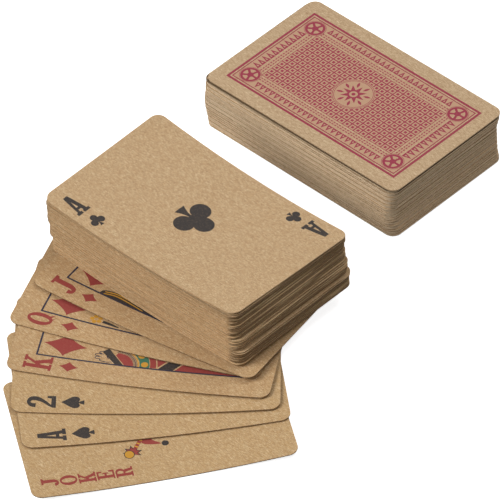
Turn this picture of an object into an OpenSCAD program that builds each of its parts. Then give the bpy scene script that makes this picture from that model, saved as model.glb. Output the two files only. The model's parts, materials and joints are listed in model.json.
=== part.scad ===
// Two packs of playing cards cut from brown kraft board, as they lie on a table.
// The front pack is face up, and six of its cards are fanned out from under the pile.
// The rear pack is squared up and face down.
// Units are millimetres. The origin is the middle of the rear pack's underside.
// +X runs along the rear pack, +Y points away from the front pack and +Z is up.

/* [Cards] */
// Length of a card
card_l = 88; // [75:1:120]
// Width of a card
card_w = 55; // [50:1:70]
// Thickness of the kraft board
card_t = 0.36; // [0.28:0.01:0.5]
// Radius of a card's rounded corners
corner_r = 3.5; // [2:0.25:6]

/* [Bow] */
// Radius to which the front pack's cards are bowed along their length
bow_r = 590; // [450:10:2000]
// How many cards at the top of the front pile curl up more and more
curled = 5; // [1:1:9]
// How far the top card's bow runs off its length, in degrees
curl_turn = 16; // [0:1:20]

/* [Packs] */
// Free table between the two packs
pack_gap = 29.8; // [15:0.2:60]
// How far the front pack lies along the rear pack's length
front_x = 8.2; // [-20:0.2:20]
// Air between two cards of the squared rear pack
rear_air = 0.015; // [0.01:0.005:0.06]
// Extra air under each of the rear pack's top cards, which don't lie quite flat
top_air = 0.2; // [0:0.05:0.4]
// How many cards at the top of the rear pack have it
airy = 3; // [0:1:9]
// Air between two cards of the bowed front pile
front_air = 0.08; // [0.03:0.01:0.15]
// How unevenly the cards of the front pile lie, sideways
front_loose = 0.2; // [0:0.05:0.8]
// How unevenly the cards of the rear pack lie, sideways
rear_loose = 0.25; // [0:0.05:0.8]
// How unevenly the cards of both lie, in degrees
loose_turn = 0.25; // [0:0.05:0.6]
// How far the middle of the rear pack has slipped to the left
rear_slip = 1.3; // [0:0.1:3]

/* [Fan] */
// Air that is left where a fanned card comes nearest to a card below it
lie = 0.1; // [0.06:0.02:0.3]
// Jack of diamonds: shift along the pile
jack_along = 3.6; // [0:0.2:10]
// Jack of diamonds: shift out from under the pile
jack_out = 9; // [4:0.2:16]
// Jack of diamonds: turn from the pile
jack_turn = 10; // [4:0.5:16]
// Queen of diamonds: shift along the pile
queen_along = 0.8; // [-4:0.2:8]
// Queen of diamonds: shift out from under the pile
queen_out = 18.4; // [14:0.2:24]
// Queen of diamonds: turn from the pile
queen_turn = 24; // [18:0.5:29]
// King of diamonds: shift along the pile
king_along = 8.6; // [4:0.2:15]
// King of diamonds: shift out from under the pile
king_out = 30.2; // [26:0.2:36]
// King of diamonds: turn from the pile
king_turn = 33; // [30:0.5:38]
// Two of spades: shift along the pile
two_along = 15.2; // [11:0.2:21]
// Two of spades: shift out from under the pile
two_out = 39.6; // [37:0.2:44]
// Two of spades: turn from the pile
two_turn = 43; // [39:0.5:47]
// Ace of spades: shift along the pile
ace_along = 22.6; // [20:0.2:28]
// Ace of spades: shift out from under the pile
ace_out = 47; // [45:0.2:52]
// Ace of spades: turn from the pile
ace_turn = 51; // [48:0.5:53]
// Joker: shift along the pile
joker_along = 36.4; // [33:0.2:42]
// Joker: shift out from under the pile
joker_out = 60.2; // [57:0.2:66]
// Joker: turn from the pile
joker_turn = 56; // [54:0.5:60]

/* [Hidden] */

kraft = [0.77, 0.64, 0.48];
rear_pitch = card_t + rear_air;
front_pitch = card_t + front_air;
front_y = -(card_w + pack_gap);
corner_steps = 48;
bow_steps = 720;

// The fan from the table up, and then the pile: shift along, shift across and turn of each
fan = [
  [joker_along, -joker_out, joker_turn],
  [ace_along, -ace_out, ace_turn],
  [two_along, -two_out, two_turn],
  [king_along, -king_out, king_turn],
  [queen_along, -queen_out, queen_turn],
  [jack_along, -jack_out, jack_turn],
  [0, 0, 0]];
pile = len(fan) - 1;

// How many cards each packet holds, from the lowest packet up
front_counts = [10, 3, 3, 8, 10, 9, 3, 1];
rear_counts = [2, 10, 3, 10, 3, 10, 3, 10, 2, 1];

// How many cards of a pack lie below packet i
function below_packet(counts, i) = i == 0 ? 0 : below_packet(counts, i - 1) + counts[i - 1];
top_number = below_packet(front_counts, len(front_counts));
rear_top_number = below_packet(rear_counts, len(rear_counts) - 1);

// How far each packet of the front pile sticks out at the right end, from the lowest packet up
front_stick = [1.5, 1.9, 0.4, 0.7, -0.2, -0.4, 0, 0];

// Points of one card at which the lie of two cards is compared
grid = [for (a = [-1:0.125:1]) for (b = [-1:0.25:1]) [a * card_l / 2, b * card_w / 2]];

function turned(p, a) = [p[0] * cos(a) - p[1] * sin(a), p[0] * sin(a) + p[1] * cos(a)];

// A card's own point p on the table, and a table point in the card's own frame
function on_table(i, p) = [fan[i][0], fan[i][1]] + turned(p, fan[i][2]);
function on_card(i, p) = turned(p - [fan[i][0], fan[i][1]], -fan[i][2]);

function is_on_card(p) = abs(p[0]) <= card_l / 2 && abs(p[1]) <= card_w / 2;

// Height that a bowed card has gained at a distance u from its middle
function sag(u) = bow_r - sqrt(bow_r * bow_r - u * u);

// How much further card i has to stand above card j because they are bowed in different directions
function over(i, j) = [for (p = grid) let(q = on_card(j, on_table(i, p)))
  if (is_on_card(q)) sag(q[0]) - sag(p[0])];
function under(i, j) = [for (p = grid) let(q = on_card(i, on_table(j, p)))
  if (is_on_card(q)) sag(p[0]) - sag(q[0])];
function rise(i, j) = max(concat([0], over(i, j), under(i, j)));

// Height of each card's lowest line: as low as every card below it allows
function stand(i, below) = max([for (j = [0:i - 1]) below[j] + card_t + lie + rise(i, j)]);
function heights(i) = i == 0 ? [0] : let(below = heights(i - 1)) concat(below, [stand(i, below)]);
level = heights(pile);

// Where card n of a pile lies off the pile's own middle
function jog(n) = [sin(137 * n), cos(211 * n)];
function slant(n) = loose_turn * sin(71 * n);

// Where card n of the rear pack lies along the pack, and its height
function slip(n) = -rear_slip * sin(180 * n / rear_top_number);
function rear_rise(n) = n * rear_pitch + top_air * max(0, n - rear_top_number + airy);

// How far the bow of card n of the front pile runs off its length, and its radius:
// two corners curl up, and the other two stay at the height that the pile's own bow gives them
function curl(n) = curl_turn * max(0, 1 - (top_number - n) / curled);
function curl_r(n) = (bow_r - n * front_pitch) * pow(cos(curl(n)) - card_w / card_l * sin(curl(n)), 2);

module card_outline() {
  square([card_l - 2 * corner_r, card_w], center = true);
  square([card_l, card_w - 2 * corner_r], center = true);
  for (x = [-1, 1])
    for (y = [-1, 1])
      translate([x * (card_l / 2 - corner_r), y * (card_w / 2 - corner_r)])
        circle(r = corner_r, $fn = corner_steps);
}

module flat_card() {
  linear_extrude(height = card_t)
    card_outline();
}

// A card bowed along its length to radius r, with its lowest line at height z.
// The outline may lie off the line about which the sheet is bowed.
module bowed_card(r, z, off = [0, 0], turn = 0) {
  intersection() {
    translate([off[0], off[1], z - 1])
      rotate(turn)
        linear_extrude(height = card_l / 4)
          card_outline();
    translate([0, 0, z + r])
      rotate([90, 0, 0])
        difference() {
          cylinder(r = r, h = 2 * card_l, center = true, $fn = bow_steps);
          cylinder(r = r - card_t, h = 3 * card_l, center = true, $fn = bow_steps);
        }
  }
}

module fan_card(i) {
  color(kraft)
    translate([front_x + fan[i][0], front_y + fan[i][1], 0])
      rotate(fan[i][2])
        bowed_card(bow_r, level[i]);
}

// Card n of the front pile, counted up from the jack: its sheets nest about one line, up to those that curl
module front_card(n, off = [0, 0], turn = 0) {
  color(kraft)
    translate([front_x, front_y, 0])
      rotate(-curl(n))
        bowed_card(curl_r(n), level[pile] + n * front_pitch, turned(off, curl(n)), turn + curl(n));
}

module front_packet(i) {
  first = below_packet(front_counts, i);
  for (n = [first:first + front_counts[i] - 1])
    front_card(n, front_loose * jog(n) + [front_stick[i], 0], slant(n));
}

// Packet i of the rear pack, counted up from the table: its lowest card lies true
module rear_packet(i) {
  first = below_packet(rear_counts, i);
  color(kraft)
    for (n = [first:first + rear_counts[i] - 1])
      translate([slip(n), 0, rear_rise(n)])
        translate(sign(n) * rear_loose * jog(n))
          rotate(slant(n))
            flat_card();
}

module joker_card() fan_card(0);
module ace_of_spades() fan_card(1);
module two_of_spades() fan_card(2);
module king_of_diamonds() fan_card(3);
module queen_of_diamonds() fan_card(4);
module jack_of_diamonds() fan_card(5);

module front_heart_numbers() front_packet(0);
module front_heart_courts() front_packet(1);
module front_spade_courts() front_packet(2);
module front_spade_numbers() front_packet(3);
module front_diamond_numbers() front_packet(4);
module front_club_numbers() front_packet(5);
module front_club_courts() front_packet(6);
module front_second_joker() front_packet(7);

module ace_of_clubs() front_card(top_number);

module rear_jokers() rear_packet(0);
module rear_spade_numbers() rear_packet(1);
module rear_spade_courts() rear_packet(2);
module rear_heart_numbers() rear_packet(3);
module rear_heart_courts() rear_packet(4);
module rear_club_numbers() rear_packet(5);
module rear_club_courts() rear_packet(6);
module rear_diamond_numbers() rear_packet(7);
module rear_diamond_courts() rear_packet(8);
module rear_top_card() rear_packet(9);

joker_card();
ace_of_spades();
two_of_spades();
king_of_diamonds();
queen_of_diamonds();
jack_of_diamonds();
front_heart_numbers();
front_heart_courts();
front_spade_numbers();
front_spade_courts();
front_diamond_numbers();
front_club_numbers();
front_club_courts();
front_second_joker();
ace_of_clubs();
rear_jokers();
rear_spade_numbers();
rear_spade_courts();
rear_heart_numbers();
rear_heart_courts();
rear_club_numbers();
rear_club_courts();
rear_diamond_numbers();
rear_diamond_courts();
rear_top_card();
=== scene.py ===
"""Dresses two packs of kraft playing cards: the board, the printed faces and backs, and the stage."""

import json
import math

import bpy
from bpy.props import FloatProperty, FloatVectorProperty, PointerProperty
from mathutils import Matrix, Vector


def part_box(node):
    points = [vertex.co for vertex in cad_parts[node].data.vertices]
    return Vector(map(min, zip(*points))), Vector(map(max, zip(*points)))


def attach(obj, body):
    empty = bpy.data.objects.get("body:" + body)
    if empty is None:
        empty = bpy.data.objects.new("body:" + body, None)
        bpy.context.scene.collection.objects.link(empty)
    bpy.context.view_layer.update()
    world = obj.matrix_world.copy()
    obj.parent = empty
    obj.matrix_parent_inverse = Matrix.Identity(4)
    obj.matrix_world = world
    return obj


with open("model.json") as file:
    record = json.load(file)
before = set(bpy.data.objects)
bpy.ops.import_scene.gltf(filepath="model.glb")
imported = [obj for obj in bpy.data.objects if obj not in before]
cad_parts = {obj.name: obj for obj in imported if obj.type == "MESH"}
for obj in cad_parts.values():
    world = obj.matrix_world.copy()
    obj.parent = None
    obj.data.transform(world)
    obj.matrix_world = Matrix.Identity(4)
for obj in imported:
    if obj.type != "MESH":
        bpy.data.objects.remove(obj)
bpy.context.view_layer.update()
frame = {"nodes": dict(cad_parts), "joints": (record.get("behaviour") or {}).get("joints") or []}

bl_info = {
    "name": "Kraft playing cards",
    "version": (1, 0, 0),
    "blender": (4, 5, 0),
    "location": "View3D > Sidebar > Cards",
    "description": "Kraft board, printed faces and backs, and a studio for two packs of cards",
    "category": "Object",
}

MM = 0.001

# The fanned cards from the pile down: body, node, and the hinge that squares the card above on it
FAN = [
    ("jack", "jack_of_diamonds", "pile_swing"),
    ("queen", "queen_of_diamonds", "jack_swing"),
    ("king", "king_of_diamonds", "queen_swing"),
    ("two_spades", "two_of_spades", "king_swing"),
    ("ace_spades", "ace_of_spades", "two_of_spades_swing"),
    ("joker", "joker_card", "ace_of_spades_swing"),
]
FAN_NODES = ["two_of_spades", "ace_of_spades", "joker_card"]
COURT_NODES = ["jack_of_diamonds", "queen_of_diamonds", "king_of_diamonds"]
PILE_NODES = [
    "front_heart_numbers",
    "front_heart_courts",
    "front_spade_courts",
    "front_spade_numbers",
    "front_diamond_numbers",
    "front_club_numbers",
]
# The loose cards under the ace
CURLED_NODES = ["front_club_courts", "front_second_joker"]
REAR_NODES = [
    "rear_jokers",
    "rear_spade_numbers",
    "rear_spade_courts",
    "rear_heart_numbers",
    "rear_heart_courts",
    "rear_club_numbers",
    "rear_club_courts",
    "rear_diamond_numbers",
]
# How many cards of a pile lie below these nodes, and how many at the front pile's top curl up
CARDS_BELOW_SECOND_JOKER = 46
CARDS_BELOW_ACE = 47
CARDS_IN_LOWER_HALF = 24
CURLED_CARDS = 5
REAR_CARDS_BELOW_DIAMONDS = 41
REAR_COURTS = 2
# Radius of a card's rounded corners, as in the CAD
CORNER = 3.5 * MM
# Width in millimetres of the strips that let a print follow a bow
STRIP = 2.5
# Width of a big spade or club, as a share of its height
BIG_PIP_WIDTH = 0.9
# Where the robes of the court cards end at the left, just inside the frame, in millimetres
ROBE_LEFT = -18.3
# The stage, in metres: the floor's size, how far it lies below the cards, and how far the camera sees
FLOOR_SIZE = 8
FLOOR_BELOW = 0.2 * MM
CAMERA_REACH = 20
# Width of the camera's sensor in millimetres
SENSOR = 36


def srgb(code):
    """Linear colour, with alpha, of an sRGB hex value such as #c4a47c."""
    parts = [int(code[i:i + 2], 16) / 255 for i in (1, 3, 5)]
    return tuple(c / 12.92 if c <= 0.04045 else ((c + 0.055) / 1.055) ** 2.4 for c in parts) + (1.0,)


def colour(name, about, code):
    """A colour property with an sRGB default."""
    return FloatVectorProperty(
        name=name, description=about, subtype="COLOR", size=4, min=0.0, max=1.0, default=srgb(code))


def length(name, about, value):
    """A length property with its default in millimetres."""
    return FloatProperty(name=name, description=about, unit="LENGTH", precision=5, default=value * MM)


def degrees(name, about, value):
    """An angle property with its default in degrees."""
    return FloatProperty(name=name, description=about, subtype="ANGLE", default=math.radians(value))


def watts(name, about, value):
    """A lamp's power property."""
    return FloatProperty(name=name, description=about, subtype="POWER", default=value)


class BoardSettings(bpy.types.PropertyGroup):
    face: colour("Board", "Brown kraft board of the front pack", "#c3a27a")
    fan: colour("Fan board", "Board of the outer fanned cards, a little browner", "#c09d6e")
    # The court board is the fan's browner board darkened as painted shade from the pile over the court
    # cards
    courts: colour("Court board", "Board of the fanned court cards, browner still", "#bd986b")
    rear: colour("Rear board", "Board of the rear pack, a little greyer", "#c2a583")
    dark: colour("Dark fibre", "Dark fibres and flecks in the board", "#8f6b45")
    pale: colour("Pale fibre", "Pale fibres in the board", "#e3cda8")
    # The fanned cards' cut edges are darker than their faces as painted shade along the fan's edges
    shaded_edge: colour("Cut edges", "Cut edges of the fanned cards, darker than their faces", "#6e5539")
    front_edge: colour("Front edges", "Cut edges of the front pack", "#cda87a")
    # The rear edges are partly the board's own paler cut, partly painted light that brightens the pack's
    # dim sides
    lit_rear_edge: colour("Rear edges", "Cut edges of the rear pack, paler than its faces", "#f6ddbb")
    # The ledge colour is a painted highlight for cards that stick out at the ends and catch the light
    ledge_highlight: colour("Ledge", "Cards that stick out at the pile's ends and catch the light", "#eccb9c")
    gap: colour("Gap", "Shade between two cards of a pile", "#46351f")
    mottle: length("Mottle", "Size of the clouds in the board", 1.1)
    fibre: length("Fibre", "Length of a fibre", 1.9)


class InkSettings(bpy.types.PropertyGroup):
    black: colour("Black ink", "Clubs and spades", "#35302e")
    red: colour("Red ink", "Diamonds and the jokers' letters", "#913e39")
    navy: colour("Navy ink", "Frames and outlines of the court cards", "#2f2e3e")
    gold: colour("Gold ink", "Ornaments of the court cards", "#c48f35")
    green: colour("Green ink", "Bands of the court cards", "#3d6a52")
    back: colour("Back ink", "Rosy red of the backs", "#96384a")
    tint: colour("Tint", "Fine screen of the back ink, which reads as a rosy brown", "#bd977a")
    bowed: length("Ink on bowed cards", "Height of the first ink above a bowed card", 0.02)
    flat: length("Ink on flat cards", "Height of the first ink above a flat card", 0.004)
    bowed_step: length("Overprint on bowed cards", "Step up to each later ink on a bowed card", 0.005)
    flat_step: length("Overprint on flat cards", "Step up to each later ink on a flat card", 0.003)
    sunk: length("Sunk", "How far the ink reaches into the board", 0.01)


class FaceSettings(bpy.types.PropertyGroup):
    index_x: length("Index place", "Index from the card's middle, across", 22.4)
    letter_y: length("Letter height above middle", "Middle of the index letter, along", 34.0)
    letter_h: length("Letter", "Height of the index letter", 9.4)
    pip_y: length("Pip height above middle", "Middle of the small pip, along", 23.8)
    pip_h: length("Pip", "Height of the small pip", 6.6)
    frame_x: length("Court frame half width", "Court frame from the card's middle, across", 18.6)
    frame_y: length("Court frame half length", "Court frame from the card's middle, along", 35.2)
    frame_line: length("Court frame line", "Width of the court frame's line", 0.62)
    club_h: length("Ace club", "Height of the club in the ace's middle", 15.2)


class BackSettings(bpy.types.PropertyGroup):
    half_x: length("Back half width", "Outer frame from the card's middle, across", 21.5)
    half_y: length("Back half length", "Outer frame from the card's middle, along", 38.4)
    field_x: length("Field half width", "Lattice field from the card's middle, across", 13.75)
    field_y: length("Field half length", "Lattice field from the card's middle, along", 30.0)
    pitch: length("Lattice pitch", "Distance between two lines of the lattice", 2.5)
    line: length("Lattice line", "Width of a line of the lattice", 0.48)
    medallion: length("Medallion", "Radius of the medallion in the middle", 7.6)
    roundel: length("Roundel", "Radius of the roundels in the corners", 3.9)


class StageSettings(bpy.types.PropertyGroup):
    azimuth: degrees("Azimuth", "Camera round the cards", 45.15)
    elevation: degrees("Elevation", "Camera above the table", 42.81)
    roll: degrees("Roll", "How far the camera leans to its right", 2.11)
    distance: length("Distance", "Camera from the point it looks at", 2111.4)
    aim_x: length("Aim X", "Point on the table that the camera looks at", 11.9)
    aim_y: length("Aim Y", "Point on the table that the camera looks at", -63.6)
    lens: FloatProperty(name="Lens", description="Focal length in millimetres", default=453.6)
    key: watts("Key", "Power of the large lamp at the left", 21.0)
    top: watts("Top", "Power of the lamp above and behind", 8.5)
    fill: watts("Fill", "Power of the weak lamp at the right", 3.2)
    sky: FloatProperty(name="Sky", description="Strength of the surroundings as a light", default=0.18)
    glow: FloatProperty(name="Glow", description="What makes the floor white to the camera", default=0.8)
    bounce: colour("Bounce", "Tone of the floor for the light that it throws back", "#707070")
    floor: colour("Floor", "Plain pale floor", "#f4f4f4")


# Outlines. Each is a list of closed loops, and a loop inside another is a hole.


def moved(loops, x=0.0, y=0.0, wide=1.0, tall=1.0, turn=0.0):
    """Loops scaled, turned by degrees and moved."""
    c = math.cos(math.radians(turn))
    s = math.sin(math.radians(turn))
    return [[(x + c * wide * a - s * tall * b, y + s * wide * a + c * tall * b) for a, b in loop]
            for loop in loops]


def millimetres(loops):
    """Loops drawn in millimetres, in metres."""
    return moved(loops, wide=MM, tall=MM)


def both_ends(loops):
    """A card's two ends: the loops, and the same turned by half a turn."""
    return loops + moved(loops, turn=180)


def arc(x, y, rx, ry, start=0.0, end=360.0, steps=24):
    """Points of an arc between two angles in degrees; a full turn leaves the last point out."""
    count = steps if abs(end - start) >= 360 else steps + 1
    angles = [math.radians(start + (end - start) * i / steps) for i in range(count)]
    return [(x + rx * math.cos(a), y + ry * math.sin(a)) for a in angles]


def round_loop(radius):
    """A fine circle about the middle."""
    return arc(0, 0, radius, radius, steps=64)


def box_loop(x0, y0, x1, y1):
    """A rectangle between two corners."""
    return [(x0, y0), (x1, y0), (x1, y1), (x0, y1)]


def frame_loops(half_x, half_y, line):
    """A rectangular line, with its middle at the given distances."""
    out = line / 2
    return [
        box_loop(-half_x - out, -half_y - out, half_x + out, half_y + out),
        box_loop(-half_x + out, -half_y + out, half_x - out, half_y - out),
    ]


def smooth(points, steps=5):
    """A smooth open curve through the points."""
    ends = [points[0]] + list(points) + [points[-1]]
    curve = []
    for p0, p1, p2, p3 in zip(ends, ends[1:], ends[2:], ends[3:]):
        for i in range(steps):
            t = i / steps
            curve.append(tuple(
                0.5 * (2 * b + (c - a) * t + (2 * a - 5 * b + 4 * c - d) * t * t
                       + (3 * b - a - 3 * c + d) * t ** 3)
                for a, b, c, d in zip(p0, p1, p2, p3)))
    return curve + [tuple(points[-1])]


def ribbon(points, widths, steps=5):
    """A stroke along a smooth curve, whose width changes from point to point."""
    path = smooth([(x, y, w) for (x, y), w in zip(points, widths)], steps)
    left = []
    right = []
    for i, (x, y, w) in enumerate(path):
        before = path[max(i - 1, 0)]
        after = path[min(i + 1, len(path) - 1)]
        along = Vector((after[0] - before[0], after[1] - before[1])).normalized()
        left.append((x - along.y * w / 2, y + along.x * w / 2))
        right.append((x + along.y * w / 2, y - along.x * w / 2))
    return left + right[::-1]


def two_loop():
    """The figure two in one outline: its bow and diagonal, and its foot with a serif."""
    stroke = ribbon([(-0.19, 0.7), (-0.16, 0.86), (-0.02, 0.945), (0.13, 0.86), (0.15, 0.68),
                     (0.03, 0.44), (-0.12, 0.27), (-0.19, 0.2)],
                    [0.2, 0.17, 0.13, 0.18, 0.2, 0.14, 0.11, 0.1])
    end = len(stroke) // 2
    base = [(0.16, 0.155), (0.19, 0.3), (0.29, 0.3), (0.29, 0), (-0.29, 0), (-0.29, 0.12)]
    return stroke[:end] + base + stroke[end:]


def both_sides(half):
    """A loop from its right half, listed from the top down; points on the axis aren't doubled."""
    return half + [(-x, y) for x, y in half[::-1] if x > 1e-6]


def diamond_pip():
    """A diamond with hollow sides, one high."""
    # Power that draws the sides in; two would leave them straight
    hollow = 2 / 0.78
    width = 0.72
    points = []
    for x, y in arc(0, 0, 1, 1, steps=40):
        points.append((
            math.copysign(abs(x) ** hollow, x) * width / 2,
            math.copysign(abs(y) ** hollow, y) / 2))
    return [points]


def foot(top, neck, flare):
    """The flared foot of a spade or club, from its top down."""
    return smooth([(neck, top), (neck + 0.035, -0.33), (flare, -0.5)], 4)


def spade_pip():
    """A spade, one high."""
    leaf = smooth([(0, 0.5), (0.15, 0.32), (0.3, 0.14), (0.4, -0.03), (0.4, -0.15), (0.33, -0.27),
                   (0.2, -0.31), (0.05, -0.26)])
    return [both_sides(leaf + foot(-0.28, 0.05, 0.16))]


def club_pip():
    """A club, one high: the top lobe, the right lobe and the foot, and their mirror image."""
    lobe = 0.25
    top_y = 0.25
    side_x = 0.29
    side_y = -0.1
    slope = math.degrees(math.atan2(side_y - top_y, side_x))
    half = math.degrees(math.acos(math.hypot(side_x, side_y - top_y) / 2 / lobe))
    top = arc(0, top_y, lobe, lobe, 90, slope + half, 14)
    side = arc(side_x, side_y, lobe, lobe, slope + 180 - half, -168, 26)
    return [both_sides(top + side[1:] + foot(-0.19, 0.04, 0.16))]


# Width and height of the small pips, as shares of the index pip's height
SMALL_PIPS = {diamond_pip: (1.0, 1.0), spade_pip: (1.0, 1.14), club_pip: (0.77, 0.86)}

# Index letters with slab serifs, one high, with their middle at x = 0
LETTERS = {
    "A": [
        [(-0.1, 1), (0.1, 1), (0.21, 0.13), (0.29, 0.13), (0.29, 0), (0.01, 0), (0.01, 0.13),
         (0.055, 0.13), (0.04, 0.24), (-0.085, 0.24), (-0.1, 0.13), (-0.05, 0.13), (-0.05, 0),
         (-0.29, 0), (-0.29, 0.13), (-0.215, 0.13)],
        [(-0.07, 0.36), (0.022, 0.36), (-0.02, 0.7)],
    ],
    "J": [
        box_loop(-0.12, 0.89, 0.29, 1),
        ribbon([(0.09, 0.89), (0.09, 0.5), (0.085, 0.27), (0.03, 0.11), (-0.07, 0.07), (-0.15, 0.12),
                (-0.17, 0.25)],
               [0.21, 0.21, 0.2, 0.17, 0.14, 0.16, 0.19]),
    ],
    "Q": [
        arc(0, 0.54, 0.3, 0.46, steps=32),
        arc(0, 0.54, 0.12, 0.35, steps=32),
        [(0.11, 0.112), (0.23, 0.245), (0.33, 0.06), (0.3, 0), (0.19, 0.01)],
    ],
    "K": [
        [(-0.33, 1), (-0.02, 1), (-0.02, 0.9), (-0.09, 0.9), (-0.09, 0.56), (0.11, 0.9), (0.04, 0.9),
         (0.04, 1), (0.32, 1), (0.32, 0.9), (0.24, 0.9), (0.07, 0.62), (0.25, 0.1), (0.34, 0.1),
         (0.34, 0), (0.02, 0), (0.02, 0.1), (0.06, 0.1), (-0.045, 0.44), (-0.09, 0.37), (-0.09, 0.1),
         (-0.02, 0.1), (-0.02, 0), (-0.33, 0), (-0.33, 0.1), (-0.26, 0.1), (-0.26, 0.9), (-0.33, 0.9)],
    ],
    "2": [two_loop()],
    "3": [
        ribbon([(-0.2, 0.74), (-0.13, 0.9), (0.0, 0.945), (0.14, 0.85), (0.13, 0.68), (-0.04, 0.57)],
               [0.15, 0.12, 0.11, 0.16, 0.16, 0.09]),
        ribbon([(-0.04, 0.5), (0.14, 0.43), (0.18, 0.25), (0.08, 0.08), (-0.07, 0.055), (-0.18, 0.12),
                (-0.21, 0.25)],
               [0.09, 0.17, 0.18, 0.13, 0.11, 0.12, 0.15]),
    ],
    "O": [arc(0, 0.5, 0.33, 0.5, steps=32), arc(0, 0.5, 0.15, 0.4, steps=32)],
    "E": [
        [(-0.29, 1), (0.26, 1), (0.26, 0.7), (0.18, 0.7), (0.15, 0.9), (-0.04, 0.9), (-0.04, 0.56),
         (0.07, 0.56), (0.07, 0.66), (0.15, 0.66), (0.15, 0.34), (0.07, 0.34), (0.07, 0.45),
         (-0.04, 0.45), (-0.04, 0.1), (0.16, 0.1), (0.2, 0.32), (0.28, 0.32), (0.28, 0), (-0.29, 0),
         (-0.29, 0.1), (-0.21, 0.1), (-0.21, 0.9), (-0.29, 0.9)],
    ],
    "R": [
        [(-0.33, 1), (0.04, 1)] + arc(0.04, 0.735, 0.23, 0.265, 80, -55, 12)
        + [(0.25, 0.1), (0.34, 0.1), (0.34, 0), (0.1, 0), (0, 0.45), (-0.07, 0.45), (-0.07, 0.1),
           (0, 0.1), (0, 0), (-0.33, 0), (-0.33, 0.1), (-0.25, 0.1), (-0.25, 0.9), (-0.33, 0.9)],
        [(-0.07, 0.9), (0.02, 0.9)] + arc(0.02, 0.725, 0.1, 0.175, 80, -80, 10)
        + [(0.02, 0.55), (-0.07, 0.55)],
    ],
}


def index_loops(letter, pip):
    """The letter and the small pip in two corners of a card."""
    face = bpy.context.scene.card_faces
    tall = face.letter_h
    wide_share, tall_share = SMALL_PIPS[pip]
    marks = moved(LETTERS[letter], -face.index_x, face.letter_y - tall / 2, tall, tall)
    marks += moved(pip(), -face.index_x, face.pip_y, face.pip_h * wide_share, face.pip_h * tall_share)
    return both_ends(marks)


# Lie of the printed sides


def middle(name):
    """Middle of a node's box."""
    low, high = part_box(name)
    return (low + high) / 2


def card_size():
    """Length, width and thickness of a card, from two cards that lie square to the frame."""
    ace_low, ace_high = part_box("ace_of_clubs")
    top_low, top_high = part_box("rear_top_card")
    return ace_high.x - ace_low.x, ace_high.y - ace_low.y, top_high.z - top_low.z


def bow_radius(name, bow=0.0):
    """Radius of a bowed card's underside, from its height and from how far it reaches along its bow."""
    card_l, card_w, card_t = card_size()
    low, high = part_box(name)
    rise = high.z - low.z
    a = math.radians(bow)
    reach = (card_l / 2 - CORNER) * math.cos(a) + (card_w / 2 - CORNER) * math.sin(a) + CORNER
    return (rise * rise - card_t * card_t + reach * reach) / (2 * (rise - card_t))


def lie(body, place, turn, lowest, radius, bow=0.0):
    """Where a card lies: the body it moves with, its middle, turn and lowest line, the radius of its bow,
    with 0 for a flat card, and how far the bow runs off the card's length."""
    return {
        "body": body, "x": place.x, "y": place.y, "turn": turn,
        "low": lowest, "radius": radius, "bow": bow}


def joint(name):
    """A joint of the frame."""
    return next(each for each in frame["joints"] if each["name"] == name)


def fan_lies():
    """The six fanned cards: each is turned from the pile by the sum of the hinges above it."""
    lies = {}
    turn = 0.0
    for body, name, hinge in FAN:
        turn += joint(hinge)["range_deg"][1]
        lies[body] = lie(body, middle(name), turn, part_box(name)[0].z, bow_radius(name))
    return lies


def curl(cards_below):
    """How far the bow of a card of the front pile runs off its length.
    The ace, whose bow runs off most, is dealt along its own bow line."""
    axis = Vector(joint("front_deal")["axis"])
    top = math.degrees(math.atan2(-axis.x, -axis.y))
    return top * max(0, 1 - (CARDS_BELOW_ACE - cards_below) / CURLED_CARDS)


def curl_share(bow):
    """Radius of a curled card, as a share of the pile's own."""
    card_l, card_w = card_size()[:2]
    a = math.radians(bow)
    return (math.cos(a) - card_w / card_l * math.sin(a)) ** 2


def pile_pitch():
    """Lowest point of the front pile, and the pitch of its cards."""
    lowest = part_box("front_heart_numbers")[0].z
    return lowest, (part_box("front_second_joker")[0].z - lowest) / CARDS_BELOW_SECOND_JOKER


def pile_lie(body, name, cards_below):
    """A card of the front pile, whose sheets are bowed about one line, up to those that curl."""
    lowest, pitch = pile_pitch()
    bow = curl(cards_below)
    top_bow = curl(CARDS_BELOW_ACE)
    top_radius = bow_radius("ace_of_clubs", top_bow) / curl_share(top_bow)
    radius = top_radius + (CARDS_BELOW_ACE - cards_below) * pitch
    place = middle(name)
    made = lie(body, place, 0.0, lowest + cards_below * pitch, radius * curl_share(bow), bow)
    made["spread"] = place - middle("ace_of_clubs")
    return made


def rear_lie(body, name):
    """The top card of a node of the flat rear pack."""
    card_t = card_size()[2]
    return lie(body, middle(name), 0.0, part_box(name)[1].z - card_t, 0.0)


def lay(obj, card, under=False):
    """Lays a flat print on a card's upper side, or on its underside, along the card's bow."""
    card_t = card_size()[2]
    c = math.cos(math.radians(card["turn"]))
    s = math.sin(math.radians(card["turn"]))
    inner = card["radius"] - (0 if under else card_t)
    spread = card.get("spread", Vector())
    along = math.cos(math.radians(card["bow"]))
    across = math.sin(math.radians(card["bow"]))
    for vertex in obj.data.vertices:
        u = -vertex.co.y
        v = -vertex.co.x if under else vertex.co.x
        bow_u = (u + spread.x) * along - (v + spread.y) * across
        if card["radius"]:
            z = card["low"] + card["radius"] - math.sqrt(inner * inner - bow_u * bow_u)
        else:
            z = card["low"] + (0 if under else card_t)
        z += -vertex.co.z if under else vertex.co.z
        vertex.co = (card["x"] + c * u - s * v, card["y"] + s * u + c * v, z)
    obj.data.update()
    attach(obj, card["body"])


# Print as thin sheets of ink


def only(obj):
    """Makes one object the active and only selected one."""
    bpy.ops.object.select_all(action="DESELECT")
    obj.select_set(True)
    bpy.context.view_layer.objects.active = obj


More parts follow.
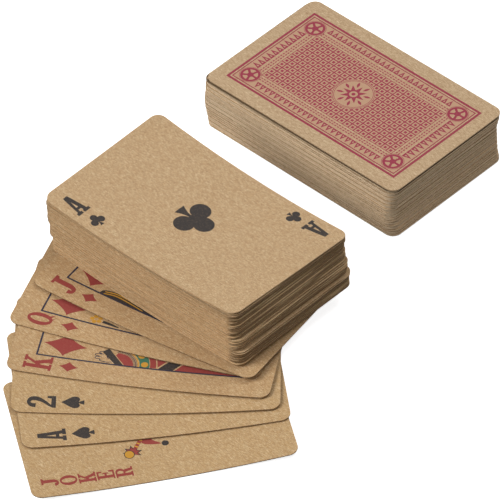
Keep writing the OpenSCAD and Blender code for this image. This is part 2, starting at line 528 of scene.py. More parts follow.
def cut_across(obj, half, step):
    """Cuts a flat sheet into strips, so that it can follow a bow."""
    bpy.ops.object.mode_set(mode="EDIT")
    count = math.ceil(half / step)
    for i in range(-count, count + 1):
        bpy.ops.mesh.select_all(action="SELECT")
        bpy.ops.mesh.bisect(plane_co=(0, i * step, 0), plane_no=(0, 1, 0))
    bpy.ops.object.mode_set(mode="OBJECT")


def thicken(obj, height, sunk):
    """Gives a flat sheet of ink its thickness, from a little below the board's surface up."""
    solid = obj.modifiers.new("ink", "SOLIDIFY")
    solid.thickness = height + sunk
    solid.offset = 1
    bpy.ops.object.modifier_apply(modifier=solid.name)
    # A sliver from the fill can turn a corner's normal over, which would send that corner down
    for vertex in obj.data.vertices:
        vertex.co.z = abs(vertex.co.z)
    obj.data.transform(Matrix.Translation((0, 0, -sunk)))


def flat_sheet(name, loops):
    """A filled flat sheet with the given outlines, as a mesh cut into strips. It is drawn in millimetres
    and scaled at the end, because the fill merges points that are too close in metres."""
    outline = bpy.data.curves.new(name, "CURVE")
    outline.dimensions = "2D"
    outline.fill_mode = "BOTH"
    for loop in loops:
        spline = outline.splines.new("POLY")
        spline.points.add(len(loop) - 1)
        spline.use_cyclic_u = True
        for point, (x, y) in zip(spline.points, loop):
            point.co = (x / MM, y / MM, 0, 1)
    obj = bpy.data.objects.new(name, outline)
    bpy.context.scene.collection.objects.link(obj)
    only(obj)
    bpy.ops.object.convert(target="MESH")
    obj = bpy.context.view_layer.objects.active
    cut_across(obj, card_size()[0] / MM / 2, STRIP)
    obj.data.transform(Matrix.Scale(MM, 4))
    return obj


def press(obj, material, card, order, under=False):
    """Makes a flat sheet a film of ink on a card; each later ink lies a little higher."""
    inks = bpy.context.scene.card_inks
    if card["radius"]:
        height = inks.bowed + order * inks.bowed_step
    else:
        height = inks.flat + order * inks.flat_step
    only(obj)
    thicken(obj, height, inks.sunk)
    obj.data.materials.append(material)
    lay(obj, card, under)


def ink_print(name, loops, ink, card, order=0):
    """Prints loops in one ink on a card's upper side."""
    press(flat_sheet(name, loops), ink_material(ink), card, order)


# Materials


# Fibres are this many times as long as they are wide, and their masks have soft edges of this width
FIBRE_RATIO = 7
FIBRE_EDGE = 0.16
# Depth of the paper's grit
GRIT_DEPTH = 0.05 * MM
# Width of the shaded rim on loose cards, and its strength in the front pile and in the rear pack
RIM = 0.8 * MM
FRONT_RIM = 0.25
REAR_RIM = 0.85
# Contrast of the cards' tones, their own and painted gap shade, on a stack's long sides and at its ends
FRONT_CONTRAST = (0.45, 1.0)
REAR_CONTRAST = (0.25, 0.3)
# How dark the painted shade on the front pile's ends is
END_SHADE = 0.72
# How much of a loose card's cut edge, from the top, lies in the shade of a gap, and how dark that is
CURLED_SHADE = (0.25, 0.6)
OPEN_SHADE = (0.65, 0.85)


def node(tree, kind, inputs=None, stops=None, **settings):
    """Adds a node with its settings and links. An input is a value, a socket, or a node whose first output
    feeds it. The stops are a colour ramp's positions, each with its grey value."""
    made = tree.nodes.new(kind)
    for name, value in settings.items():
        setattr(made, name, value)
    for name, value in (inputs or {}).items():
        if isinstance(value, bpy.types.Node):
            value = value.outputs[0]
        if isinstance(value, bpy.types.NodeSocket):
            tree.links.new(value, made.inputs[name])
        else:
            made.inputs[name].default_value = value
    if stops:
        elements = made.color_ramp.elements
        while len(elements) < len(stops):
            elements.new(0.5)
        for element, (position, grey) in zip(elements, stops):
            element.position = position
            element.color = (grey, grey, grey, 1)
    return made


def fibre_mask(tree, place, angle, long, threshold):
    """Short thin fibres that lie near one direction on the card."""
    thin = long / FIBRE_RATIO
    stretched = node(tree, "ShaderNodeMapping", {
        "Vector": place, "Rotation": (0, 0, angle), "Scale": (1 / long, 1 / thin, 1 / thin)})
    grain = node(tree, "ShaderNodeTexNoise", {
        "Vector": stretched, "Scale": 1.0, "Detail": 3.0, "Roughness": 0.6, "Distortion": 0.8})
    stops = [(threshold, 0.0), (threshold + FIBRE_EDGE, 1.0)]
    return node(tree, "ShaderNodeValToRGB", {"Fac": grain}, stops)


def kraft_nodes(tree, place, base):
    """Colour of kraft board: soft clouds of pulp, dark flecks and pale fibres."""
    board = bpy.context.scene.card_board
    clouds = node(tree, "ShaderNodeTexNoise", {
        "Vector": place, "Scale": 1 / board.mottle, "Detail": 6.0, "Roughness": 0.75})
    cloudy = node(tree, "ShaderNodeValToRGB", {"Fac": clouds}, [(0.34, 0.0), (0.68, 0.46)])
    paper = node(tree, "ShaderNodeMixRGB", {"Fac": cloudy, "Color1": base, "Color2": board.dark})
    # Real fibres are about 0.03 mm wide; they are drawn coarser so that they show.
    # Each kind has a tone, a length, a strength, and three layers with their direction and threshold.
    fibres = [
        (board.dark, board.fibre, 0.75, ((0.4, 0.57), (1.5, 0.58), (2.5, 0.58))),
        (board.pale, board.fibre * 0.7, 0.8, ((0.1, 0.55), (1.0, 0.55), (2.1, 0.55))),
    ]
    for tone, long, strength, layers in fibres:
        for angle, threshold in layers:
            mask = fibre_mask(tree, place, angle, long, threshold)
            share = node(tree, "ShaderNodeMath", {0: mask, 1: strength}, operation="MULTIPLY")
            paper = node(tree, "ShaderNodeMixRGB", {"Fac": share, "Color1": paper, "Color2": tone})
    return paper


def paper_shader(material, paper, place, roughness, grit, strength):
    """A matt shader with the fine grit of paper."""
    tree = material.node_tree
    relief = node(tree, "ShaderNodeTexNoise", {"Vector": place, "Scale": 1 / grit, "Detail": 3.0})
    bump = node(tree, "ShaderNodeBump", {"Height": relief, "Strength": strength, "Distance": GRIT_DEPTH})
    spread = 0.06
    rough = node(tree, "ShaderNodeMapRange", {
        "Value": relief, "To Min": roughness - spread, "To Max": roughness + spread})
    shader = node(tree, "ShaderNodeBsdfPrincipled", {
        "Base Color": paper, "Roughness": rough, "Normal": bump, "Specular IOR Level": 0.25, "IOR": 1.45})
    node(tree, "ShaderNodeOutputMaterial", {"Surface": shader})


def new_material(name):
    """An empty node material and its object coordinates."""
    material = bpy.data.materials.new(name)
    material.use_nodes = True
    material.node_tree.nodes.clear()
    place = node(material.node_tree, "ShaderNodeTexCoord").outputs["Object"]
    return material, place


def rim_shade_mask(tree, place, centre, strength):
    """A narrow rim of painted shade along the outline of a card, where it lies in the gap under the card
    above it.
    """
    card_l, card_w = card_size()[:2]
    split = node(tree, "ShaderNodeSeparateXYZ", {"Vector": place})
    rims = []
    for axis, mid, size in (("X", centre.x, card_l), ("Y", centre.y, card_w)):
        off = node(tree, "ShaderNodeMath", {0: split.outputs[axis], 1: mid}, operation="SUBTRACT")
        far = node(tree, "ShaderNodeMath", {0: off}, operation="ABSOLUTE")
        rims.append(node(tree, "ShaderNodeMapRange", {
            "Value": far, "From Min": size / 2 - RIM, "From Max": size / 2 - RIM / 2,
            "To Max": strength}))
    return node(tree, "ShaderNodeMath", {0: rims[0], 1: rims[1]}, operation="MAXIMUM")


def kraft_face(name, base, centre=None, strength=0.0):
    """Uncoated kraft board, calendered: matt brown with clouds of pulp, and fibres both darker and paler.
    Loose cards near the top of a pile, whose middle is given, have a shaded rim."""
    material, place = new_material(name)
    tree = material.node_tree
    paper = kraft_nodes(tree, place, base)
    if centre:
        rim = rim_shade_mask(tree, place, centre, strength)
        gap = bpy.context.scene.card_board.gap
        paper = node(tree, "ShaderNodeMixRGB", {"Fac": rim, "Color1": paper, "Color2": gap})
    paper_shader(material, paper, place, roughness=0.78, grit=0.35 * MM, strength=0.35)
    return material


def kraft_stack(name, base, stack, contrast, end_shade=0.0, shade=(0.0, 0.0)):
    """Guillotined edges of stacked kraft board: each card has its own tone, with painted shade in the
    gaps.
    The stack is its lowest point, the pitch of its cards, its middle along X and the radius of its bow.
    The ends can get painted shade, with pale painted highlights that stand for lit ledges."""
    lowest, pitch, mid_x, radius = stack
    board = bpy.context.scene.card_board
    material, place = new_material(name)
    tree = material.node_tree
    split = node(tree, "ShaderNodeSeparateXYZ", {"Vector": place})
    height = node(tree, "ShaderNodeMath", {0: split.outputs["Z"], 1: lowest}, operation="SUBTRACT")
    along = node(tree, "ShaderNodeMath", {0: split.outputs["X"], 1: mid_x}, operation="SUBTRACT")
    if radius:
        squared = node(tree, "ShaderNodeMath", {0: along, 1: along}, operation="MULTIPLY")
        bowed = node(tree, "ShaderNodeMath", {0: squared, 1: 0.5 / radius}, operation="MULTIPLY")
        height = node(tree, "ShaderNodeMath", {0: height, 1: bowed}, operation="SUBTRACT")
    layer = node(tree, "ShaderNodeMath", {0: height, 1: pitch}, operation="DIVIDE")
    number = node(tree, "ShaderNodeMath", {0: layer}, operation="FLOOR")
    # Each card has its own place in the noise, which then changes slowly along the card
    own = node(tree, "ShaderNodeMath", {0: number, 1: 3.7}, operation="MULTIPLY")
    slow = node(tree, "ShaderNodeVectorMath", {0: place, 1: (25, 25, 0)}, operation="MULTIPLY")
    tone = node(tree, "ShaderNodeTexNoise", {
        "Vector": slow, "W": own, "Scale": 1.0, "Detail": 1.0}, noise_dimensions="4D")
    # Each card's tone mixes it toward the gap colour: partly its own tone, partly painted shade of the
    # gaps
    tones = [(0.3, 1.0), (0.4, 0.4), (0.5, 0.1), (0.62, 0.0)]
    dark = node(tree, "ShaderNodeValToRGB", {"Fac": tone}, tones)
    far = node(tree, "ShaderNodeMath", {0: along}, operation="ABSOLUTE")
    half = card_size()[0] / 2
    ends = {"Value": far, "From Min": half - CORNER, "From Max": half - CORNER / 2}
    share = node(tree, "ShaderNodeMapRange", {**ends, "To Min": contrast[0], "To Max": contrast[1]})
    dark = node(tree, "ShaderNodeMath", {0: dark, 1: share}, operation="MULTIPLY")
    # Painted shade over the whole of each end of the front pile
    end_mask = node(tree, "ShaderNodeMapRange", ends)
    painted_end_shade = node(tree, "ShaderNodeMath", {0: end_mask, 1: end_shade}, operation="MULTIPLY")
    dark = node(tree, "ShaderNodeMath", {0: dark, 1: painted_end_shade}, operation="MAXIMUM")
    # Painted gap shade on the upper part of each loose card's cut edge
    within = node(tree, "ShaderNodeMath", {0: layer}, operation="FRACT")
    shaded = node(tree, "ShaderNodeMapRange", {
        "Value": within, "From Min": 0.9 - shade[0], "From Max": 1 - shade[0], "To Max": shade[1]})
    dark = node(tree, "ShaderNodeMath", {0: dark, 1: shaded}, operation="MAXIMUM")
    paper = kraft_nodes(tree, place, base)
    layered = node(tree, "ShaderNodeMixRGB", {"Fac": dark, "Color1": paper, "Color2": board.gap})
    if end_shade:
        # Pale layers at the ends are a painted highlight, standing in for lit ledges
        pale = node(tree, "ShaderNodeValToRGB", {"Fac": tone}, [(0.57, 0.0), (0.63, 1.0)])
        pale = node(tree, "ShaderNodeMath", {0: pale, 1: end_mask}, operation="MULTIPLY")
        layered = node(tree, "ShaderNodeMixRGB", {"Fac": pale, "Color1": layered, "Color2": board.ledge_highlight})
    paper_shader(material, layered, place, roughness=0.85, grit=0.3 * MM, strength=0.5)
    return material


def ink_material(name):
    """Offset ink on uncoated board: matt and slightly uneven, because the fibres under it show through."""
    if name in bpy.data.materials:
        return bpy.data.materials[name]
    material, place = new_material(name)
    tree = material.node_tree
    ink = getattr(bpy.context.scene.card_inks, name.split("_")[0])
    grain = 0.5 * MM
    worn = node(tree, "ShaderNodeTexNoise", {
        "Vector": place, "Scale": 1 / grain, "Detail": 4.0, "Roughness": 0.7})
    thin = node(tree, "ShaderNodeValToRGB", {"Fac": worn}, [(0.5, 0.0), (0.8, 0.16)])
    board = bpy.context.scene.card_board.face
    shown = node(tree, "ShaderNodeMixRGB", {"Fac": thin, "Color1": ink, "Color2": board})
    paper_shader(material, shown, place, roughness=0.62, grit=0.35 * MM, strength=0.25)
    return material


class CARDS_OT_board(bpy.types.Operator):
    """Gives every card its kraft board"""
    bl_idname = "cards.board"
    bl_label = "Kraft board"

    def execute(self, context):
        board = context.scene.card_board
        front_board = kraft_face("kraft_board_front", board.face)
        fan_board = kraft_face("kraft_board_fan", board.fan)
        # Court cards get a darker board as painted shade from the pile
        shaded_court_board = kraft_face("kraft_board_courts", board.courts)
        rear_board = kraft_face("kraft_board_rear", board.rear)
        ace_middle = middle("ace_of_clubs")
        # Loose cards' faces get a rim of painted shade where the card above overhangs them
        curled_board = kraft_face("kraft_board_front_open", board.face, ace_middle, FRONT_RIM)
        open_board = kraft_face("kraft_board_rear_open", board.rear, middle("rear_top_card"), REAR_RIM)
        # Cut edges of the fanned cards, painted darker as shade
        shaded_cut_edges = kraft_face("kraft_cut_edges", board.shaded_edge)
        low, pitch = pile_pitch()
        mid_radius = bow_radius("jack_of_diamonds") - pitch * CARDS_IN_LOWER_HALF
        pile = (low, pitch, ace_middle.x, mid_radius)
        pile_edges = kraft_stack("kraft_edges_front", board.front_edge, pile, FRONT_CONTRAST, END_SHADE)
        curled_edges = kraft_stack(
            "kraft_edges_front_open", board.front_edge, pile, FRONT_CONTRAST, END_SHADE, CURLED_SHADE)
        rear_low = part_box("rear_jokers")[0].z
        rear_pitch = (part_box("rear_diamond_numbers")[0].z - rear_low) / REAR_CARDS_BELOW_DIAMONDS
        rear = (rear_low, rear_pitch, 0.0, 0.0)
        # The rear pack's edge colour holds painted light as well as its own paler cut
        rear_edges = kraft_stack("kraft_edges_rear", board.lit_rear_edge, rear, REAR_CONTRAST)
        open_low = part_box("rear_diamond_courts")[0].z
        open_pitch = (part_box("rear_top_card")[0].z - open_low) / REAR_COURTS
        loose = (open_low, open_pitch, 0.0, 0.0)
        open_edges = kraft_stack(
            "kraft_edges_rear_open", board.lit_rear_edge, loose, REAR_CONTRAST, shade=OPEN_SHADE)
        dressed = [
            (FAN_NODES, fan_board, shaded_cut_edges),
            (COURT_NODES, shaded_court_board, shaded_cut_edges),
            (PILE_NODES, front_board, pile_edges),
            (CURLED_NODES, curled_board, curled_edges),
            (REAR_NODES, rear_board, rear_edges),
            (["ace_of_clubs"], front_board, front_board),
            (["rear_diamond_courts"], open_board, open_edges),
            (["rear_top_card"], rear_board, rear_board),
        ]
        for names, face, edge in dressed:
            for name in names:
                self.dress(name, face, edge)
        return {"FINISHED"}

    def dress(self, name, face, edge):
        """Gives a node one board on its cards' faces and one on their cut edges."""
        mesh = frame["nodes"][name].data
        mesh.materials.clear()
        mesh.materials.append(face)
        mesh.materials.append(edge)
        for polygon in mesh.polygons:
            upright = abs(polygon.normal.z) < 0.5
            polygon.material_index = 1 if upright else 0


class CARDS_OT_clubs(bpy.types.Operator):
    """Prints the ace of clubs on top of the pile"""
    bl_idname = "cards.clubs"
    bl_label = "Ace of clubs"

    def execute(self, context):
        face = context.scene.card_faces
        card = pile_lie("ace_clubs", "ace_of_clubs", CARDS_BELOW_ACE)
        big = moved(club_pip(), 0, 0, face.club_h * BIG_PIP_WIDTH, face.club_h, 180)
        ink_print("ace_of_clubs_print", index_loops("A", club_pip) + big, "black_ink", card)
        return {"FINISHED"}


class CARDS_OT_spades(bpy.types.Operator):
    """Prints the ace, two and three of spades"""
    bl_idname = "cards.spades"
    bl_label = "Spades"

    def execute(self, context):
        lies = fan_lies()
        ace_w = 20 * MM
        ace_h = 24 * MM
        pip_h = 15 * MM
        column = 24 * MM
        ace = moved(spade_pip(), 0, 0, ace_w, ace_h)
        two = both_ends(moved(spade_pip(), 0, column, pip_h * BIG_PIP_WIDTH, pip_h))
        three = two + moved(spade_pip(), 0, 0, pip_h * BIG_PIP_WIDTH, pip_h)
        pile_card = pile_lie("front_lower", "front_spade_numbers", CARDS_IN_LOWER_HALF - 1)
        for name, letter, pips, card in (
                ("ace", "A", ace, lies["ace_spades"]),
                ("two", "2", two, lies["two_spades"]),
                ("three", "3", three, pile_card)):
            ink_print(name + "_of_spades_print", index_loops(letter, spade_pip) + pips, "black_ink", card)
        return {"FINISHED"}


class CARDS_OT_courts(bpy.types.Operator):
    """Prints the jack, queen and king of diamonds: frame, big diamond and the edge of a patterned robe"""
    bl_idname = "cards.courts"
    bl_label = "Court cards"

    def execute(self, context):
        face = context.scene.card_faces
        lies = fan_lies()
        big_x = -12.6 * MM
        big_y = 26.8 * MM
        big_w = 14.4 * MM
        big_h = 14.8 * MM
        big = both_ends(moved(diamond_pip(), big_x, big_y, big_w, big_h))
        line = frame_loops(face.frame_x, face.frame_y, face.frame_line)
        for body, letter in (("jack", "J"), ("queen", "Q"), ("king", "K")):
            ink_print(body + "_red_print", index_loops(letter, diamond_pip) + big, "red_ink", lies[body])
            ink_print(body + "_frame_print", line, "navy_ink", lies[body])
        # The part of each figure that can show beside the card above it
        self.jack_robe(lies["jack"])
        self.queen_robe(lies["queen"])
        self.king_robe(lies["king"])
        return {"FINISHED"}

    def print_ends(self, name, loops, ink, card, order=0):
        """Prints loops drawn in millimetres at both ends of a card."""
        ink_print(name, both_ends(millimetres(loops)), ink, card, order)

    def jack_robe(self, card):
        """A dark sash with wavy gold stripes."""
        edge = [(-16.6, 21.6), (-15.5, 17.4), (-15.8, 12), (-16.6, 6)]
        sash = [smooth([(ROBE_LEFT, 22.4)] + edge + [(ROBE_LEFT, 0.4)])]
        stripes = []
        for inside in (0.5, 1.45):
            path = [(x - inside, y - 0.6) for x, y in edge]
            stripes.append(ribbon(path, [0.4, 0.5, 0.45, 0.3]))
        self.print_ends("jack_sash_print", sash, "black_ink", card)
        self.print_ends("jack_gold_print", stripes, "gold_ink", card, 1)

    def queen_robe(self, card):
        """A gold flower on a dark stalk."""
        petals = []
        for i in range(5):
            a = math.radians(72 * i + 20)
            petals.append(arc(-16.1 + 1.25 * math.cos(a), 16.8 + 1.45 * math.sin(a), 0.72, 0.8, steps=14))
        stalk = [ribbon([(-16.5, 14.4), (-16.9, 12), (-17.6, 8.4)], [1.1, 1.0, 0.4])]
        self.print_ends("queen_gold_print", petals, "gold_ink", card)
        self.print_ends("queen_stalk_print", stalk, "black_ink", card)

    def king_robe(self, card):
        """A cuff, a sleeve with round bands of beads and discs, and the robe's long edge."""
        right = -13.4
        round_x = -18.6
        round_y = 8.6
        # The angle at which the sleeve's bands start
        bottom = -88

        def band(inner, outer, end=8):
            return (arc(round_x, round_y, outer, outer, bottom, end, 16)
                    + arc(round_x, round_y, inner, inner, end, bottom, 16))

        def discs(count, first, step, far, radius, steps):
            loops = []
            for i in range(count):
                a = math.radians(first + step * i)
                x = round_x + far * math.cos(a)
                y = round_y + far * math.sin(a)
                loops.append(arc(x, y, radius, radius, steps=steps))
            return loops

        red = [
            [(ROBE_LEFT, 6.0), (-14.2, 9.6)] + arc(round_x, round_y, 5.6, 5.6, 4, bottom, 10),
            band(11.2, 13.2),
            [(-17.6, -5.1), (right, -8.5), (right, -4.1)],
            [(ROBE_LEFT, -10.9), (right, -14.6), (right, -25), (ROBE_LEFT, -33)],
        ]
        dark = [
            [(ROBE_LEFT, 9.2), (ROBE_LEFT, 6.4), (-11.4, 12.3), (-13.2, 14.3)],
            [(ROBE_LEFT, -5.3), (right, -9.2), (right, -14.0), (ROBE_LEFT, -10.3)],
        ]
        line = [band(5.8, 5.95), band(6.75, 6.9)]
        gold = [band(7.1, 7.5)] + discs(4, -80, 26, 9.35, 1.2, 18)
        beads = discs(18, -86, 5.2, 6.35, 0.24, 8)
        fingers = [(-17.5, 10.4), (-17.8, 12.4), (-17.4, 14.4), (-16.9, 14.2), (-16.8, 13.2),
                   (-16.7, 15.6), (-16.1, 16.2), (-15.7, 15.4), (-15.6, 13.7), (-15.3, 16.0),
                   (-14.7, 16.3), (-14.3, 15.5), (-14.4, 13.6), (-13.9, 15.0), (-13.3, 14.9),
                   (-13.2, 13.6)]
        thumb = [(-16.3, 11.6), (-15.4, 12.3), (-14.6, 12.4)]
        hand = [ribbon(fingers, [0.28] * len(fingers), 4), ribbon(thumb, [0.24] * len(thumb), 4)]
        self.print_ends("king_red_robe_print", red, "red_ink", card)
        self.print_ends("king_green_print", [band(7.7, 11.0)], "green_ink", card)
        self.print_ends("king_dark_print", dark, "black_ink", card)
        self.print_ends("king_gold_print", gold, "gold_ink", card, 1)
        self.print_ends("king_hand_print", hand + line + beads, "navy_ink", card)


class CARDS_OT_jokers(bpy.types.Operator):
    """Prints both jokers: the card's name down one side, a jester's cap and a bauble on a stick"""
    bl_idname = "cards.jokers"
    bl_label = "Jokers"

    def execute(self, context):
        second = pile_lie("front_upper", "front_second_joker", CARDS_BELOW_SECOND_JOKER)
        self.joker("joker", fan_lies()["joker"])
        self.joker("second_joker", second)
        return {"FINISHED"}

    def joker(self, name, card):
        """One joker: its letters at both ends, and the cap and the bauble once, drawn in millimetres."""
        left_horn = [smooth([
            (-1, -6), (-4.5, 3), (-9.5, 4.5), (-11, -1.5), (-8.3, 1.2), (-6.6, -1.5), (-6, -6)])]
        right_horn = [[(-x, y) for x, y in left_horn[0]]]
        middle_horn = [smooth([
            (-0.8, -6), (-3.4, 3.6), (-0.6, 10), (3.4, 11), (1.6, 8.2), (3.2, 3.6), (0.8, -6)])]
        band = [[(-6.6, -9), (6.6, -9), (6.3, -6.4), (-6.3, -6.4)]]
        dark_bell = [arc(-11.1, -2.8, 1.2, 1.2, steps=18)]
        bells = [arc(x, y, 1.1, 1.1, steps=18) for x, y in ((11.1, -2.8), (4.5, 11.4))]
        studs = [arc(x, -7.7, 0.7, 0.7, steps=12) for x in (-4.8, -2.4, 0, 2.4, 4.8)]
        ball = [arc(-13.7, 9.6, 1.9, 1.75, steps=24)]
        outline = ball + [arc(-13.7, 9.6, 1.66, 1.51, steps=24)]
        stick = [ribbon([(-11.6, 7.3), (-9.4, 5.9), (-7.2, 4.2)], [1.3, 1.3, 1.3], 2)]
        rings = [ribbon([(x - 0.36, y - 0.5), (x + 0.36, y + 0.5)], [0.6, 0.6], 1)
                 for x, y in ((-10.6, 6.6), (-9.3, 5.8), (-8.0, 4.8))]
        gold = middle_horn + bells + ball + studs + rings
        letters = both_ends(self.letters()) + millimetres(left_horn)
        ink_print(name + "_letters_print", letters, "red_ink", card)
        for part, loops, ink, order in (
                ("green", right_horn, "green_ink", 0),
                ("black", band + dark_bell + [self.frill(1.0)], "black_ink", 0),
                ("red", [self.frill(0.78)] + stick, "red_ink", 1),
                ("gold", gold, "gold_ink", 2),
                ("outline", outline, "black_ink", 3)):
            ink_print("_".join((name, part, "print")), millimetres(loops), ink, card, order)

    def letters(self):
        """The card's name, one letter below the other."""
        left = -21.2 * MM
        first = 37.2 * MM
        pitch = 6.1 * MM
        tall = 5.7 * MM
        wide = tall * 1.2
        loops = []
        for i, letter in enumerate("JOKER"):
            loops += moved(LETTERS[letter], left, first - i * pitch - tall / 2, wide, tall)
        return loops

    def frill(self, size):
        """The spiky collar of the bauble, in millimetres."""
        points = []
        for i in range(11):
            a = math.radians(-125 + 21 * i)
            far = (3.3 if i % 2 == 0 else 1.9) * size
            points.append((-13.0 + far * math.cos(a), 8.4 + far * math.sin(a)))
        return points + [(-13.6, 9.2)]


class CARDS_OT_backs(bpy.types.Operator):
    """Prints the backs: a framed lattice with a toothed border, corner roundels and a star"""
    bl_idname = "cards.backs"
    bl_label = "Backs"

    def execute(self, context):
        back = context.scene.card_back
        tint = ink_material("tint_ink")
        red = ink_material("back_ink")
        sheets = [
            (flat_sheet("tint", self.tint(back)), tint),
            (self.lattice(context, back), red),
            (flat_sheet("medallion", [round_loop(back.medallion)]), tint),
            (flat_sheet("ornaments", self.ornaments(back)), red),
        ]
        # Where a back is printed, and whether it is on the card's underside
        places = {
            "rear_top_card": (rear_lie("rear_top", "rear_top_card"), False),
            "rear_diamond_courts": (rear_lie("rear_upper", "rear_diamond_courts"), False),
            "rear_heart_courts": (rear_lie("rear_lower", "rear_heart_courts"), False),
            "pile": (pile_lie("front_lower", "front_heart_numbers", 0), True),
        }
        places.update({body: (card, True) for body, card in fan_lies().items()})
        for name, (card, under) in places.items():
            for order, (sheet, material) in enumerate(sheets):
                copy = self.copy(context, sheet, "_".join((name, sheet.name, "back_print")))
                press(copy, material, card, order, under)
        for sheet, material in sheets:
            bpy.data.objects.remove(sheet)
        return {"FINISHED"}

    def copy(self, context, sheet, name):
        """A copy of one of the back's sheets, with its own mesh."""
        made = sheet.copy()
        made.data = sheet.data.copy()
        made.name = name
        made.data.name = name
        context.scene.collection.objects.link(made)
        return made

    def tint(self, back):
        """The screened ground in two bands and a field, with bare lines of board between them."""
        inside = 1.5 * MM
        band = 3.1 * MM
        edge = 0.6 * MM
        bare = 0.35 * MM
        halves = [(back.half_x - inside, back.half_y - inside)]
        for out in (band, band - bare, edge, edge - bare):
            halves.append((back.field_x + out, back.field_y + out))
        return [box_loop(-x, -y, x, y) for x, y in halves]

    def lattice(self, context, back):
        """Crossed lines over the field, with a spot in each mesh; the medallion covers the gap in them.
        It is drawn in millimetres and scaled at the end, as the other sheets are."""
        covered = 2 * MM
        spot_margin = 0.5
        columns = round(2 * back.field_x / back.pitch)
        rows = round(2 * back.field_y / back.pitch)
        bpy.ops.object.select_all(action="DESELECT")
        bpy.ops.mesh.primitive_grid_add(x_subdivisions=columns, y_subdivisions=rows, size=2)
        obj = context.view_layer.objects.active
        obj.name = "lattice"
        obj.scale = (back.field_x / MM, back.field_y / MM, 1)
        bpy.ops.object.transform_apply(location=False, rotation=False, scale=True)
        clear = (back.medallion - covered) / MM
        self.delete_faces(obj, [face.index for face in obj.data.polygons
                                if math.hypot(face.center.x, face.center.y) < clear])
        bpy.ops.object.mode_set(mode="EDIT")
        bpy.ops.mesh.select_all(action="SELECT")
        bpy.ops.mesh.inset(use_individual=True, thickness=back.line / 2 / MM, depth=0)
        bpy.ops.mesh.inset(use_individual=True, thickness=spot_margin, depth=0)
        bpy.ops.object.mode_set(mode="OBJECT")
        spots = {face.index for face in obj.data.polygons if face.select}
        self.delete_faces(obj, self.neighbours(obj, spots))
        obj.data.transform(Matrix.Scale(MM, 4))
        return obj

    def neighbours(self, obj, spots):
        """The faces that share an edge with one of the given faces."""
        edges = {key for index in spots for key in obj.data.polygons[index].edge_keys}
        return [face.index for face in obj.data.polygons
                if face.index not in spots and edges.intersection(face.edge_keys)]

    def delete_faces(self, obj, chosen):
        """Deletes the faces with the given numbers."""
        bpy.ops.object.mode_set(mode="EDIT")
        bpy.ops.mesh.select_mode(type="FACE")
        bpy.ops.mesh.select_all(action="DESELECT")
        bpy.ops.object.mode_set(mode="OBJECT")
        for index in chosen:
            obj.data.polygons[index].select = True
        bpy.ops.object.mode_set(mode="EDIT")
        bpy.ops.mesh.delete(type="FACE")
        bpy.ops.object.mode_set(mode="OBJECT")

    def ornaments(self, back):
        """Outer frame, teeth, dashes, roundels and the star."""
        thick = 0.9 * MM
        thin = 0.4 * MM
        between = 1.15 * MM
        inside = 1.5 * MM
        loops = frame_loops(back.half_x, back.half_y, thick)
        loops += frame_loops(back.half_x - between, back.half_y - between, thin)
        corner_x = back.half_x - inside - back.roundel
        corner_y = back.half_y - inside - back.roundel
        for half, field, outer, upright in (
                (corner_x - back.roundel, back.field_y, back.half_y, False),
                (corner_y - back.roundel, back.field_x, back.half_x, True)):
            loops += self.border_side(half, field, outer, upright)
        for x in (-corner_x, corner_x):
            for y in (-corner_y, corner_y):
                loops += moved(self.roundel(back.roundel), x, y)
        return loops + self.star(back)

    def border_side(self, half, field, outer, upright):
        """Hollow teeth and two rows of dashes along one pair of sides."""
        pitch = 2.2 * MM
        gap = 0.04 * MM
        low = field + 3.3 * MM
        high = outer - 1.6 * MM
        # A tooth's hollow is this share of it, about a point this far up
        bare = 0.34
        heart = low + 0.3 * (high - low)
        dash = 0.75 * MM
        dash_pitch = 1.25 * MM
        dash_half = 0.22 * MM
        count = int(2 * half / pitch)
        loops = []
        for i in range(count):
            at = (i + 0.5 - count / 2) * pitch
            tooth = [(at - pitch / 2 + gap, low), (at + pitch / 2 - gap, low), (at, high)]
            loops += [tooth, [(at + (x - at) * bare, heart + (y - heart) * bare) for x, y in tooth]]
        for row in (field + 1.0 * MM, field + 2.0 * MM):
            at = -half
            while at < half:
                loops.append(box_loop(at, row - dash_half, at + dash, row + dash_half))
                at += dash_pitch
        if upright:
            loops = [[(b, a) for a, b in loop] for loop in loops]
        return both_ends(loops)

    def roundel(self, radius):
        """A disc in a thin ring, with five petals left bare round a star."""
        far = radius * 0.68
        near = radius * 0.3
        petals = []
        for i in range(5):
            a = 72 * i + 90
            outer = arc(0, 0, far, far, a - 26, a + 26, 8)
            petals.append(outer + arc(0, 0, near, near, a + 16, a - 16, 4))
        rings = [arc(0, 0, radius * share, radius * share, steps=40) for share in (1.0, 0.96, 0.91)]
        return rings + petals

    def star(self, back):
        """A pointed star in a ring of leaves, within two thin rings."""
        thin = 0.2 * MM
        loops = []
        for share in (0.97, 0.9):
            loops += [round_loop(back.medallion * share), round_loop(back.medallion * share - thin)]
        leaf = millimetres([both_sides(smooth([(0, 6.3), (0.5, 4.9), (0, 3.4)], 4))])
        for i in range(8):
            loops += moved(leaf, turn=45 * i + 22.5)
        star = []
        for i in range(16):
            a = math.radians(22.5 * i)
            far = (4.6 if i % 2 == 0 else 2.1) * MM
            star.append((far * math.cos(a), far * math.sin(a)))
        eye = [arc(0, 0, 1.5 * MM, 1.5 * MM, steps=24), arc(0, 0, 0.7 * MM, 0.7 * MM, steps=18)]
        return loops + [star] + eye


